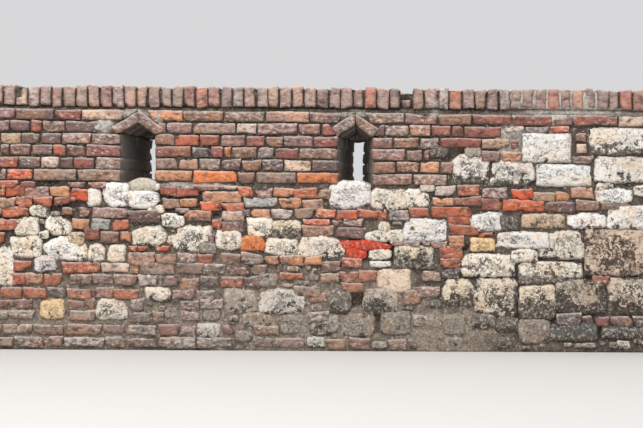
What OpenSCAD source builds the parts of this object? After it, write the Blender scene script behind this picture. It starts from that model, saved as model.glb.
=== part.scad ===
// Old garden wall of brick and rubble stone in four bays.
// Three bays have a loophole: a mouth that narrows to a slit, under a gable of leaning bricks.
// The fourth bay was closed and patched with stone. A course of bricks on edge caps the wall.
// Millimetres. X runs along the wall, the mouths face -Y, Z is up from the ground.

/* [Bricks] */
// Length of a brick
brick_length = 290; // [270:1:300]
// Width of a brick, which is also the height of the coping course
brick_width = 140; // [130:1:150]
// Height of a brick
brick_height = 70; // [62:1:75]
// Mortar between two courses
bed_joint = 13; // [8:1:18]

/* [Wall] */
// Length of one bay, from the middle of one pier to the middle of the next
bay_length = 1480; // [1200:10:1800]
// Mortar between the two bricks that make the wall's thickness
middle_joint = 20; // [10:1:60]
// Height of the plain lower wall, up to the bed of the sills
base_height = 1066; // [700:1:1400]

/* [Loophole] */
// Width of the mouth in the front face
mouth_width = 240; // [180:1:300]
// Width of the slit in the back face
slit_width = 70; // [50:1:120]
// Courses in the sill
sill_courses = 1; // [1:1:2]
// Courses beside the opening, from the sill to the gable's feet
jamb_courses = 4; // [3:1:6]

/* [Gable] */
// Gap between the ridge of the leaning bricks and the bed under the coping
ridge_gap = 5; // [3:1:12]
// Length of a leaning brick along its upper edge
gable_brick_length = 215; // [195:1:230]
// Pairs of leaning bricks, one behind the other
gable_rows = 3; // [1:1:3]
// Gap between one pair and the next
gable_row_gap = 5; // [3:1:10]
// Length of the stone over the slit in the back face
lintel_length = 400; // [250:10:600]

/* [Coping] */
// How far the bed under the coping lies behind the faces
coping_bed_recess = 15; // [5:1:30]
// Where the lost coping brick was, from the start of the third bay
lost_brick_place = 1047; // [100:1:1100]
// Width of the gap that the lost coping brick left
lost_brick_gap = 83; // [70:1:95]

/* [Hidden] */
BAYS = 4;
LOOPHOLES = 3;
// The gable stands beside this many courses.
GABLE_COURSES = 2;
// The bay that lost a coping brick.
LOST_BRICK_BAY = 3;
// Cutters run this far past what they cut.
PAST = 50;

wall_thickness = 2 * brick_length + middle_joint;
front = -wall_thickness / 2;
back = wall_thickness / 2;
left_end = -BAYS * bay_length / 2;
course = brick_height + bed_joint;

sill_level = base_height + sill_courses * course;
gable_foot = sill_level + jamb_courses * course;
head_top = gable_foot + GABLE_COURSES * course;
coping_bottom = head_top + bed_joint;
wall_top = coping_bottom + brick_width;

// The leaning bricks fill the front part of the thickness, the lintel and its wall the rest.
front_leaf = gable_rows * (brick_width + gable_row_gap);

// A leaning brick of the front pair has its lower edge on the mouth's corner and its upper edge
// on the ridge. Its slope p solves: mouth_width / 2 * tan(p) + brick_height / cos(p) = gable_rise.
ridge = head_top - ridge_gap;
gable_rise = ridge - gable_foot;
gable_slope = atan2(gable_rise, mouth_width / 2)
    - asin(brick_height / norm([gable_rise, mouth_width / 2]));

// The upper edge ends at the brick's end, and its line runs on down to the level of the feet.
brick_end_x = gable_brick_length * cos(gable_slope);
brick_end_z = ridge - gable_brick_length * sin(gable_slope);
gable_reach = gable_rise / tan(gable_slope);

// Where bay i starts, and where its loophole is. Bays and loopholes count from the left.
function bay_start(i) = left_end + (i - 1) * bay_length;
function loophole_x(i) = bay_start(i) + bay_length / 2;

// Half the width of a loophole at depth y, which falls evenly from the mouth to the slit.
function half_width(y) =
    (mouth_width + (slit_width - mouth_width) * (y - front) / wall_thickness) / 2;

// Pier i stands between loopholes i - 1 and i.
// The first starts at the wall's end, and the last ends where the closed bay starts.
function pier_start(i) = i == 1 ? left_end : loophole_x(i - 1);
function pier_end(i) = i == BAYS ? bay_start(BAYS) : loophole_x(i);

// A block between two corners.
module block(low, high) {
    translate(low) cube(high - low);
}

// A flat outline in x and z, carried from depth y_start to y_end.
module through(y_start, y_end) {
    translate([0, y_end, 0])
    rotate([90, 0, 0])
    linear_extrude(y_end - y_start) children();
}

// The passage of loophole i between two levels, narrowing from front to back. It runs past both
// faces, where it is a cutter.
module passage(i, z_low, z_high, past = 0) {
    near = front - past;
    far = back + past;
    translate([loophole_x(i), 0, z_low])
    linear_extrude(z_high - z_low) polygon([
        [-half_width(near), near], [half_width(near), near],
        [half_width(far), far], [-half_width(far), far]
    ]);
}

// Everything below the upper edges of the leaning bricks of loophole i.
module gable_outline(i) {
    translate([loophole_x(i), 0])
    polygon([[-gable_reach, gable_foot], [gable_reach, gable_foot], [0, ridge]]);
}

// The lower wall of one bay: rubble stone and brick in one mass.
module base(i) {
    color("rosybrown")
    block([bay_start(i), front, 0], [bay_start(i + 1), back, base_height]);
}

// Coursed brick between two loopholes, its sides cut to their splay.
module pier(i) {
    color("indianred")
    difference() {
        block([pier_start(i), front, base_height], [pier_end(i), back, gable_foot]);
        if (i > 1) passage(i - 1, base_height - PAST, gable_foot + PAST, PAST);
        if (i <= LOOPHOLES) passage(i, base_height - PAST, gable_foot + PAST, PAST);
    }
}

// Brick over a pier, its ends cut to the gables on both sides.
module pier_head(i) {
    color("brown")
    difference() {
        block([pier_start(i), front, gable_foot], [pier_end(i), front + front_leaf, head_top]);
        through(front - PAST, front + front_leaf + PAST) {
            if (i > 1) gable_outline(i - 1);
            if (i <= LOOPHOLES) gable_outline(i);
        }
    }
}

// The closed bay: large squared stones through the whole thickness.
module stone_panel() {
    color("antiquewhite")
    block([bay_start(BAYS), front, base_height], [bay_start(BAYS + 1), back, head_top]);
}

// The stone under the passage.
module sill(i) {
    color("linen")
    passage(i, base_height, sill_level);
}

// A leaning brick's outline, to the right of the ridge. It reaches down to a passage of the given
// half width and is cut level at its foot, so the pairs further back are thicker.
module leaning_brick(passage_half_width) {
    underside = gable_foot + passage_half_width * tan(gable_slope);
    thickness = (ridge - underside) * cos(gable_slope);
    intersection() {
        polygon([
            [0, underside],
            [brick_end_x - thickness * sin(gable_slope), brick_end_z - thickness * cos(gable_slope)],
            [brick_end_x, brick_end_z],
            [0, ridge]
        ]);
        translate([0, gable_foot]) square([gable_reach, gable_rise]);
    }
}

// The bricks that lean on one side of the ridge, one behind the other. Side 1 is the right.
module gable_side(i, side) {
    color("sienna")
    translate([loophole_x(i), 0, 0])
    mirror([side < 0 ? 1 : 0, 0, 0])
    for (row = [0:gable_rows - 1]) {
        face = front + row * (brick_width + gable_row_gap);
        through(face, face + brick_width) leaning_brick(half_width(face));
    }
}

// The wedges of mortar and brick bats that pack the feet of the leaning bricks.
module skewbacks(i) {
    foot_x = brick_end_x - (brick_end_z - gable_foot) * tan(gable_slope);
    color("tan")
    translate([loophole_x(i), 0, 0])
    through(front, front + front_leaf)
    for (side = [0, 1]) mirror([side, 0])
        polygon([[foot_x, gable_foot], [gable_reach, gable_foot], [brick_end_x, brick_end_z]]);
}

// The flat stone over the slit, behind the leaning bricks.
module lintel(i) {
    color("lightgray")
    block(
        [loophole_x(i) - lintel_length / 2, front + front_leaf, gable_foot],
        [loophole_x(i) + lintel_length / 2, back, gable_foot + brick_height]
    );
}

// The rear of the head of one bay. It runs on over the slit and rests on the lintel.
module back_head(i) {
    color("firebrick")
    difference() {
        block([bay_start(i), front + front_leaf, gable_foot], [bay_start(i + 1), back, head_top]);
        lintel(i);
    }
}

// The mortar that the coping lies in.
module coping_bed(i) {
    color("darkgray")
    block(
        [bay_start(i), front + coping_bed_recess, head_top],
        [bay_start(i + 1), back - coping_bed_recess, coping_bottom]
    );
}

// Bricks on edge along the top, two end to end across the wall. One is lost from the front.
module coping(i) {
    color("peru")
    difference() {
        block([bay_start(i), front, coping_bottom], [bay_start(i + 1), back, wall_top]);
        if (i == LOST_BRICK_BAY)
            translate([bay_start(i) + lost_brick_place, front - PAST, coping_bottom - PAST])
            cube([lost_brick_gap, PAST + brick_length, brick_width + 2 * PAST]);
    }
}

for (i = [1:BAYS]) {
    base(i);
    pier(i);
    pier_head(i);
    coping_bed(i);
    coping(i);
}
for (i = [1:LOOPHOLES]) {
    sill(i);
    gable_side(i, -1);
    gable_side(i, 1);
    skewbacks(i);
    lintel(i);
    back_head(i);
}
stone_panel();
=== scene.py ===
"""An old garden wall of brick and rubble limestone, with splayed loopholes under leaning bricks.

It is built in the order a mason would build it: the lower wall of rubble and brick, the piers, the closed
bay, the sills, the gables and lintels over the loopholes, the heads, the coping and its bed. Metres, with X
along the wall, the mouths of the loopholes at -Y and Z up from the ground. Layouts are in millimetres.
"""

import math
import random

import bmesh
import bpy
from mathutils import Matrix, Vector, noise


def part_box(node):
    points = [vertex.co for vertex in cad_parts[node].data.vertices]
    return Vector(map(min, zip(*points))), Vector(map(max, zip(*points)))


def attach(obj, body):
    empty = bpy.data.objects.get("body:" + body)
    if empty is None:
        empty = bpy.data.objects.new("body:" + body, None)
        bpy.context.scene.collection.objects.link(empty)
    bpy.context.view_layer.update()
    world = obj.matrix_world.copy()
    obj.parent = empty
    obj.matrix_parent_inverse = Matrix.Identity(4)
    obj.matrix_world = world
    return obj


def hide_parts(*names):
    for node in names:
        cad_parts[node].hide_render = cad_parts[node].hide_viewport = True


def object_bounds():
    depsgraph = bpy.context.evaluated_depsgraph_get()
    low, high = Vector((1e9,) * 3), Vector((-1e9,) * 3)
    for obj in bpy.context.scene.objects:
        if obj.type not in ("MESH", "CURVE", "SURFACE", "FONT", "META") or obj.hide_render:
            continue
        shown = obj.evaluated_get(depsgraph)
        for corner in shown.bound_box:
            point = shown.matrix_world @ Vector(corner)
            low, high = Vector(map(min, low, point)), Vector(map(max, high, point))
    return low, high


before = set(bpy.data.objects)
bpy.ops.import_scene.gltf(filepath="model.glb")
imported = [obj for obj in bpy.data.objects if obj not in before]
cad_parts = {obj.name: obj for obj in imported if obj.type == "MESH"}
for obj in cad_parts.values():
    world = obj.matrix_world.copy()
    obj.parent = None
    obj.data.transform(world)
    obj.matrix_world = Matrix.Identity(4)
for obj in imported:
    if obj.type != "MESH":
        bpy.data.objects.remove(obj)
cad_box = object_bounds()

# Lower wall. Rubble limestone and old bricks laid in lime mortar, in rough courses between the larger stones.
# The bricks are hand-moulded and unevenly fired, so no two have the same red. Their arrises are worn round.
# Near the ground in the middle, mortar was smeared over the face.

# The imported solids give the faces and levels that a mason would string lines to.
MM = 0.001
LEFT, RIGHT = cad_box[0].x, cad_box[1].x
FRONT, BACK = cad_box[0].y, cad_box[1].y
BAYS, LOOPHOLES = 4, 3
BAY = (RIGHT - LEFT) / BAYS
SILL_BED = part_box("bay_1_base")[1].z
SILL_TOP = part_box("loophole_1_sill")[1].z
GABLE_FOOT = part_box("pier_1")[1].z
HEAD_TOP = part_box("pier_1_head")[1].z
COPING_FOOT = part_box("bay_1_coping")[0].z
HEAD_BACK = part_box("pier_1_head")[1].y
COURSE = (HEAD_TOP - GABLE_FOOT) / 2
LOOPHOLE_X = [sum(corner.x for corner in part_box(f"loophole_{i + 1}_sill")) / 2 for i in range(LOOPHOLES)]
MOUTH_HALF = (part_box("loophole_1_sill")[1].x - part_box("loophole_1_sill")[0].x) / 2
SLIT_HALF = 35 * MM
SPLAY = (MOUTH_HALF - SLIT_HALF) / (BACK - FRONT)
PANEL_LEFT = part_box("stone_panel")[0].x

# The wall has settled with age. From its level place at LEVEL_X it falls to the right, and less so below
# FALL_FROM_HEIGHT.
FALL_PER_METRE = -0.0033
LEVEL_X = 0.5
FALL_FROM_HEIGHT = 0.5
# The courses between the sills and the coping's bed have sunk as well, more toward the right.
SUNK, SUNK_PER_METRE = 16 * MM, 0.005
LEAST_SUNK, MOST_SUNK = 6 * MM, 26 * MM
SINKING_BAND = 40 * MM


def sag(x, z):
    """How far the masonry at x and z has moved up as the wall settled. It is below 0 where it has sunk."""
    lean = FALL_PER_METRE * (x - LEVEL_X) * min(1, z / FALL_FROM_HEIGHT)
    sunk = min(MOST_SUNK, max(LEAST_SUNK, SUNK + SUNK_PER_METRE * x))
    among_courses = min(1, max(0, (z - SILL_BED - SINKING_BAND) / SINKING_BAND))
    under_coping = min(1, max(0, (COPING_FOOT - z) / (COPING_FOOT - HEAD_TOP)))
    return lean - sunk * among_courses * under_coping


def half_width(y):
    """Half the width of a loophole's passage at depth y."""
    return MOUTH_HALF - SPLAY * (y - FRONT)


class Face:
    """One face of the wall. Along it u runs to the right of someone who looks at it, and depth runs in."""

    def __init__(self, origin, outward, node_at):
        out = Vector(outward).normalized()
        right = Vector((0, 0, 1)).cross(out)
        self.matrix = Matrix((
            (right.x, -out.x, 0, origin[0]),
            (right.y, -out.y, 0, origin[1]),
            (0, 0, 1, origin[2]),
            (0, 0, 0, 1),
        ))
        self.node_at = node_at
        self.taken = []


def bay_at(x):
    """The number of the bay that holds x, from 1 at the left."""
    return min(BAYS, max(1, 1 + int((x - LEFT) / BAY)))


def pier_at(x):
    """The number of the pier that holds x. Pier 1 is left of the first loophole."""
    return 1 + sum(x > centre for centre in LOOPHOLE_X)


def node_in_wall(x, y, z):
    """The solid of the frame that a brick or stone with this middle belongs to."""
    if z < SILL_BED:
        return f"bay_{bay_at(x)}_base"
    if x > PANEL_LEFT:
        return "stone_panel"
    for number, centre in enumerate(LOOPHOLE_X, start=1):
        if z < SILL_TOP and abs(x - centre) < MOUTH_HALF / 2:
            return f"loophole_{number}_sill"
    if z < GABLE_FOOT:
        return f"pier_{pier_at(x)}"
    if y < HEAD_BACK:
        return f"pier_{pier_at(x)}_head"
    return f"bay_{bay_at(x)}_back_head"


front_face = Face((0, FRONT, 0), (0, -1, 0), lambda u, z: node_in_wall(u, FRONT, z))
back_face = Face((0, BACK, 0), (0, 1, 0), lambda u, z: node_in_wall(-u, BACK, z))
left_face = Face((LEFT, 0, 0), (-1, 0, 0), lambda u, z: node_in_wall(LEFT, -u, z))
right_face = Face((RIGHT, 0, 0), (1, 0, 0), lambda u, z: node_in_wall(RIGHT, u, z))

BRICK_DEPTH = 140 * MM
HEADER_DEPTH = 290 * MM
BRICK_TALL = 74 * MM
BRICK_THICK = 70 * MM
PERPEND = 10 * MM
ARRIS = 6 * MM
MORTAR, BRICK, STONE = 0, 1, 2
# Smears: middle x and z, half widths, and how thick the coat is, 1 being the usual.
SMEARS = (
    (0.45, 0.22, 1.15, 0.33, 0.8),
    (-1.10, 0.24, 0.85, 0.24, 0.7),
    (-0.45, 0.50, 0.45, 0.16, 0.5),
    (1.42, 0.14, 0.30, 0.22, 2.0),
    (1.15, 0.32, 0.25, 0.16, 0.7),
    (1.80, 1.42, 0.10, 0.22, 0.7),
    (-0.35, 1.12, 0.30, 0.04, 0.8),
    (1.90, 0.12, 0.50, 0.12, 0.5),
    (2.12, 1.71, 0.34, 0.12, 1.1),
    (1.28, 1.67, 0.03, 0.06, 1.2),
    (2.30, 1.65, 0.70, 0.012, 1.0),
    (-0.965, 1.53, 0.08, 0.06, 1.1),
    (-0.60, 1.60, 0.05, 0.04, 1.1),
    (-0.76, 1.62, 0.10, 0.035, 0.8),
    (0.73, 1.63, 0.10, 0.030, 0.7),
)

# A patch thins out from a little past its half widths, along an edge that two noises make ragged: each has
# so many waves to the metre and moves the edge by such a share of the half width.
PATCH_REACH, PATCH_FADE = 1.15, 2
BROAD_WAVES, BROAD_SHARE = 7, 0.35
FINE_WAVES, FINE_SHARE = 22, 0.25


def spread_of(place, patches):
    """How strongly some ragged patches cover the front here: 0 outside, and a patch's strength within it."""
    x, z = place.x, place.z
    ragged = noise.noise(Vector((x * BROAD_WAVES, 3, z * BROAD_WAVES))) * BROAD_SHARE
    ragged += noise.noise(Vector((x * FINE_WAVES, 9, z * FINE_WAVES))) * FINE_SHARE
    most = 0
    for middle_x, middle_z, half_x, half_z, *strength in patches:
        far = math.hypot((x - middle_x) / half_x, (z - middle_z) / half_z)
        cover = min(1, max(0, (PATCH_REACH - far + ragged) * PATCH_FADE))
        most = max(most, cover * (strength[0] if strength else 1))
    return most


def smear_at(place):
    """How thick the smeared mortar lies on the front here, 1 being the usual coat."""
    return spread_of(place, SMEARS)


# Rain splashes dirt up to SPLASH_HEIGHT, which hides SPLASH of a colour at the ground. The dust that it
# washes off a smear hides up to WASH of it.
SPLASH_HEIGHT, SPLASH = 0.30, 0.5
WASH = 0.6


def dust_at(face, u, z):
    """How far mortar dust and splashed dirt hide the colour of what lies here, from 0 to 1."""
    splashed = SPLASH * max(0, 1 - z / SPLASH_HEIGHT)
    if face is not front_face or z >= SILL_BED:
        return splashed
    return max(splashed, WASH * min(1, smear_at(Vector((u, 0, z)))))


def linear(hex_colour):
    """An sRGB hex colour as linear RGBA."""
    channels = [int(hex_colour[i:i + 2], 16) / 255 for i in (1, 3, 5)]
    return [c / 12.92 if c <= 0.04045 else ((c + 0.055) / 1.055) ** 2.4 for c in channels] + [1.0]


# Each brick colour: a letter for the layouts, the fired colour, and how much pale lime bloom it carries.
BRICKS = {
    "p": (linear("#785a56"), 0.25),
    "d": (linear("#6a5654"), 0.30),
    "m": (linear("#96746e"), 0.42),
    "q": (linear("#8f544b"), 0.22),
    "r": (linear("#b96449"), 0.20),
    "b": (linear("#d06a44"), 0.15),
    "s": (linear("#dc5a33"), 0.10),
    "e": (linear("#d97a43"), 0.12),
    "o": (linear("#cf9068"), 0.25),
    "a": (linear("#b98d77"), 0.35),
    "c": (linear("#dfc3ae"), 0.35),
    "t": (linear("#9d8374"), 0.36),
    "g": (linear("#877b76"), 0.55),
    "k": (linear("#5f5755"), 0.35),
    "y": (linear("#b5957a"), 0.30),
    "n": (linear("#8f6d5b"), 0.30),
    "l": (linear("#a3a8a4"), 0.40),
    "w": (linear("#c8b6aa"), 0.80),
}

# Each stone: its colour, how far black lichen has climbed it, how pitted it is, how rough its outline.
STONES = {
    "white": (linear("#efeae4"), 0.40, 0.35, 0.8),
    "block": (linear("#efece7"), 0.40, 0.2, 0.3),
    "stained": (linear("#ebe4da"), 0.58, 0.30, 0.3),
    "cream": (linear("#e8dccb"), 0.43, 0.5, 0.8),
    "smooth": (linear("#e8d0b8"), 0.10, 0.0, 0.4),
    "cobble": (linear("#cfc5b4"), 0.20, 0.0, 0.3),
    "yellow": (linear("#eecb98"), 0.30, 0.4, 0.7),
    "buff": (linear("#d2bba1"), 0.46, 0.7, 0.8),
    "mottled": (linear("#ede3d3"), 0.43, 0.8, 0.8),
    "ragged": (linear("#eee6d9"), 0.44, 0.8, 1.2),
    "honeycomb": (linear("#f0e9de"), 0.56, 0.8, 0.8),
    "crusted": (linear("#e3d3b8"), 0.76, 0.8, 0.7),
    "bleached": (linear("#d6cfc5"), 0.46, 0.6, 0.6),
    "speckled": (linear("#b4a99c"), 0.62, 0.6, 0.6),
    "grey": (linear("#9f958a"), 0.42, 0.4, 0.6),
    "dark": (linear("#716c66"), 0.58, 0.4, 0.5),
    "slate": (linear("#5c5d5c"), 0.58, 0.4, 0.5),
    "lilac": (linear("#ebe1df"), 0.42, 0.4, 0.9),
    "orange": (linear("#d57f49"), 0.25, 0.3, 0.7),
    "tufa": (linear("#dcc3ac"), 0.10, 1.0, 0.4),
    "worm": (linear("#dccdbb"), 0.36, 1.0, 0.6),
    "sooty": (linear("#c4b5a3"), 0.60, 1.0, 0.6),
    "scarlet": (linear("#c6482f"), 0.20, 0.1, 0.9),
}
# Mortar dust washed over bricks and stones near the ground, where the smears are.
DUST = linear("#94897b")
# Grey grime in the passages.
GRIME = linear("#86817c")
PASSAGE_GRIME = 0.8


class Masonry:
    """The bricks, stones and mortar that stand for one solid, in one mesh with its own traits per point."""

    def __init__(self):
        self.bm = bmesh.new()
        self.traits = []

    def add(self, blank, shape):
        """Copies a blank and moves each of its points with shape, which also gives the point's traits."""
        first = len(self.bm.verts)
        self.bm.from_mesh(blank)
        self.bm.verts.ensure_lookup_table()
        for vert in self.bm.verts[first:]:
            vert.co, traits = shape(vert.co, vert.normal)
            self.traits.append(traits)


masonry = {name: Masonry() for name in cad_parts}


def cut_grid(bm, axis, places):
    """Cuts everything in a bmesh by planes across one axis."""
    normal = [0, 0, 0]
    normal[axis] = 1
    for place in places:
        point = [0, 0, 0]
        point[axis] = place
        bmesh.ops.bisect_plane(
            bm, geom=bm.verts[:] + bm.edges[:] + bm.faces[:], dist=1e-5, plane_co=point, plane_no=normal
        )


def even_places(low, high, step):
    """Places that split the stretch from low to high into parts of about one step."""
    parts = max(1, round((high - low) / step))
    return [low + (high - low) * i / parts for i in range(1, parts)]


def finished_mesh(bm, name, material_index):
    """Turns a bmesh into a smooth mesh whose faces all have one material."""
    for face in bm.faces:
        face.material_index = material_index
        face.smooth = True
    mesh = bpy.data.meshes.new(name)
    bm.to_mesh(mesh)
    bm.free()
    return mesh


def brick_blank(length, height, depth, step, depth_cuts):
    """A brick with its face at depth 0, cut into a grid on the face and at a few depths.

    Behind the last cut it is buried in the wall and keeps only the faces that its shape needs.
    """
    bm = bmesh.new()
    bmesh.ops.create_cube(bm, size=1)
    bmesh.ops.scale(bm, vec=(length, depth, height), verts=bm.verts)
    bmesh.ops.translate(bm, vec=(0, depth / 2, 0), verts=bm.verts)
    bmesh.ops.bevel(
        bm, geom=bm.edges[:], offset=ARRIS, segments=2, profile=0.5, affect="EDGES", material=-1
    )
    cut_grid(bm, 0, even_places(-length / 2 + ARRIS, length / 2 - ARRIS, step))
    cut_grid(bm, 2, even_places(-height / 2 + ARRIS, height / 2 - ARRIS, step))
    cut_grid(bm, 1, depth_cuts)
    buried = [vert for vert in bm.verts if vert.co.y > depth_cuts[-1] + MM]
    bmesh.ops.dissolve_limit(
        bm, angle_limit=math.radians(2), verts=buried,
        edges=[edge for edge in bm.edges if all(vert in buried for vert in edge.verts)]
    )
    return finished_mesh(bm, "brick_blank", BRICK)


FACE_STEP = 21 * MM
# The mortar lies back so far that a brick's sides show to this depth.
SIDE_SHOWS = 30 * MM
BLANK_LENGTHS = (290 * MM, 215 * MM, 140 * MM, 75 * MM)
brick_blanks = {}
for blank_length in BLANK_LENGTHS:
    for blank_depth in (BRICK_DEPTH, HEADER_DEPTH):
        brick_blanks[blank_length, blank_depth, "plain"] = brick_blank(
            blank_length, BRICK_TALL, blank_depth, FACE_STEP, [SIDE_SHOWS]
        )
        brick_blanks[blank_length, blank_depth, "return"] = brick_blank(
            blank_length, BRICK_TALL, blank_depth, FACE_STEP, even_places(ARRIS, blank_depth - ARRIS, 28 * MM)
        )

bricks_rng = random.Random(1717)
# Wear has rounded a brick's face over RIM from its outline, by RIM_LOSS millimetres at the outline. The trait
# edge rises to 1 along the upper edge, where it paints a highlight over some pale dust, and falls to a value
# below 0 along the others, where it paints shade.
RIM = 16 * MM
RIM_LOSS = 0.8
HIGHLIT_UPPER_EDGE = 14 * MM
SHADED_OTHER_EDGES = -0.6
# The face is uneven in two sizes: waves to the metre, and their height in millimetres.
BROAD_DENTS, BROAD_DENT = 16, 3.4
FINE_DENTS, FINE_DENT = 47, 2.6
# A chip reaches further into the wall than over the face. It takes these shares of its depth off a brick,
# along, into and up the wall.
CHIP_INWARD = 0.6
CHIP_ALONG, CHIP_IN, CHIP_UP = 0.7, 0.7, 0.9
# A brick's end in a passage, up to JAMB_SIDE from the corner, has JAMB_GRIME at the face of the wall and
# gains 1 over GRIME_DEPTH, until it has as much as the rest of the passage.
JAMB_SIDE = 10 * MM
JAMB_GRIME, GRIME_DEPTH = 0.1, 0.1


def chips_for(rng, length, height, wear):
    """Lost corners and edges of a brick's face: where on its outline, how far each reaches, how deep."""
    chips = []
    for _ in range(rng.choice((0, 1, 2, 2, 3))):
        side = rng.choice((-1, 1))
        if rng.random() < 0.6:
            place = (side * length / 2, rng.choice((-1, 1)) * height / 2)
        else:
            place = (rng.uniform(-0.4, 0.4) * length, side * height / 2)
        chips.append((place, rng.uniform(12, 32) * MM, rng.uniform(4, 12) * MM * wear))
    return chips


def lay_brick(face, u, foot, length, height, kind, depth=BRICK_DEPTH, cuts=(0, 0, 0, 0), form="plain",
              grime=0.0, push=0.0, wear=1.0, lost=(), floor=0.0, jamb=0, node=None):
    """Lays one brick with the lower left corner of its face at u and foot.

    cuts slant its ends: how far the left and right ends shift with depth, then with height. wear makes it
    more or less uneven, and lost adds chips to the usual few. Nothing of it reaches below floor. jamb is
    the end that stands in a passage, -1 for the left one and 1 for the right one.
    """
    rng = bricks_rng
    colour, bloom = BRICKS[kind]
    tone = rng.gauss(1, 0.10)
    warm = rng.gauss(0, 0.025)
    tint = (colour[0] * (tone + warm), colour[1] * tone, colour[2] * (tone - warm), 1)
    dusty = dust_at(face, u + length / 2, foot + height / 2)
    tint = [part * (1 - dusty) + dust * dusty for part, dust in zip(tint, DUST)]
    bloom = min(1, max(0, bloom + rng.gauss(0, 0.18)))
    seed = rng.uniform(0, 60)
    shift = Vector((seed, seed * 1.7, -seed))
    blank_size = min(BLANK_LENGTHS, key=lambda size: abs(size - length))
    blank_height = BRICK_TALL
    blank = brick_blanks.get((blank_size, depth, form))
    if form == "on edge":
        blank, blank_size, blank_height = edge_blank, BRICK_THICK, BRICK_DEPTH
    stretch = Vector((length / blank_size, 1, height / blank_height))
    push += rng.gauss(0, 3.2) * MM
    tilt = rng.gauss(0, 0.009)
    yaw = rng.gauss(0, 0.015)
    bow = rng.gauss(0, 2.0) * MM
    corner_moves = [
        Vector((rng.gauss(0, 3.0), abs(rng.gauss(0, 3.0)), rng.gauss(0, 3.0))) * wear * MM for _ in range(4)
    ]
    chips = chips_for(rng, length, height, wear) + list(lost)
    middle = Vector((u + length / 2, 0, foot + height / 2))
    half_length, half_height = length / 2, height / 2

    def shape(point, normal):
        p = point * stretch
        across = 0.5 + p.x / length
        above = 0.5 + p.z / height
        rim = max(0, 1 - min(half_length - abs(p.x), half_height - abs(p.z)) / RIM)
        settled = grime
        if jamb * p.x > half_length - JAMB_SIDE:
            settled = min(PASSAGE_GRIME, JAMB_GRIME + p.y / GRIME_DEPTH)
        for weight, move in zip(((1 - across) * (1 - above), across * (1 - above),
                                 (1 - across) * above, across * above), corner_moves):
            p += move * weight
        rough = noise.noise(point * BROAD_DENTS + shift) * BROAD_DENT
        rough += noise.noise(point * FINE_DENTS + shift) * FINE_DENT
        p += normal * (rough - RIM_LOSS * rim) * wear * MM
        p.z += bow * (1 - (2 * across - 1) ** 2)
        for (chip_u, chip_z), reach, deep in chips:
            near = math.hypot(p.x - chip_u, p.z - chip_z, CHIP_INWARD * p.y) / reach
            if near < 1:
                drop = deep * (1 - near * near)
                p.x -= math.copysign(drop * CHIP_ALONG, p.x)
                p.z -= math.copysign(drop * CHIP_UP, p.z)
                p.y += drop * CHIP_IN
        rise = p.z + half_height
        p.x += (1 - across) * (cuts[0] * p.y + cuts[2] * rise) + across * (cuts[1] * p.y + cuts[3] * rise)
        # A painted highlight along the upper edge, and painted shade along the others.
        edge = rim * (1 if p.z > half_height - HIGHLIT_UPPER_EDGE else SHADED_OTHER_EDGES)
        p.y += push + yaw * p.x
        p.z += tilt * p.x
        world = face.matrix @ (p + middle)
        world.z = max(world.z, floor) + drop_all
        return world, (tint, seed, bloom, edge, settled)

    centre = face.matrix @ middle
    drop_all = sag(centre.x, centre.z)
    masonry[node or face.node_at(middle.x, middle.z)].add(blank, shape)
    face.taken.append((u, u + length, foot, foot + height))


# A brick that ends this near to a passage is fitted to it. Beside a slit it stands out of the mortar by this.
JAMB_REACH = 45 * MM
JAMB_PROUD = 4 * MM
# A course may start this far below the level where it belongs.
LEVEL_SLACK = 0.02


def at_jamb(face, u, length, foot):
    """Fits a brick that ends near a loophole to its passage: place, length, cuts, depth and form."""
    if face not in (front_face, back_face) or not SILL_TOP - LEVEL_SLACK < foot < GABLE_FOOT - LEVEL_SLACK:
        return u, length, {}
    toward = 1 if face is front_face else -1
    half, slant = (MOUTH_HALF, SPLAY) if face is front_face else (SLIT_HALF - JAMB_PROUD, -SPLAY)
    depth = HEADER_DEPTH if round((HEAD_TOP - foot) / COURSE) % 2 else BRICK_DEPTH
    for centre in LOOPHOLE_X:
        left_jamb, right_jamb = toward * centre - half, toward * centre + half
        if abs(u + length - left_jamb) < JAMB_REACH:
            return u, left_jamb - u, {"cuts": (0, slant, 0, 0), "depth": depth, "form": "return", "jamb": 1}
        if abs(u - right_jamb) < JAMB_REACH:
            length += u - right_jamb
            fitted = {"cuts": (-slant, 0, 0, 0), "depth": depth, "form": "return", "jamb": -1}
            return right_jamb, length, fitted
    return u, length, {}


# A brick beside a gable has its end cut back by this share of its height.
GABLE_LEAN = 0.5
# The layouts give the lit faces in the rubble. The worn edge goes this much further.
WORN_EDGE = 3 * MM
# The bricks of the lower wall are this much more worn than those of the courses.
LOW_WEAR = 1.8


def lay_row(face, foot, height, layout):
    """Lays bricks from a text in millimetres.

    @x moves to a place, _n leaves n to the mortar and r290 is a red brick 290 long. A brick whose right or
    left end is cut to the slope of a gable has a / or a \\ after its length.
    """
    u = 0
    for word in layout.split():
        size = int(word[1:].rstrip("/\\")) * MM
        if word[0] == "@":
            u = size
        elif word[0] == "_":
            u += size
        else:
            place, length, fitted = at_jamb(face, u, size, foot * MM)
            if word[-1] == "/":
                fitted = {"cuts": (0, 0, 0, GABLE_LEAN)}
            if word[-1] == "\\":
                fitted = {"cuts": (0, 0, -GABLE_LEAN, 0)}
            low = foot * MM < SILL_BED
            worn = WORN_EDGE if low else 0
            lay_brick(
                face, place - worn, foot * MM - worn, length + 2 * worn, height * MM + 2 * worn, word[0],
                wear=LOW_WEAR if low else 1.0, **fitted
            )
            u += size + PERPEND


# Rubble stones. Each is a block whose four corners are lost to a different degree, given by four digits in
# the order top left, top right, bottom right, bottom left: 0 keeps the corner, 9 rounds it off entirely.
STONE_STEP = 15 * MM
STONE_DEPTH = 190 * MM
STONE_CUTS = (0.12, 0.3)
stones_rng = random.Random(909)
stone_blanks = {}


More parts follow.
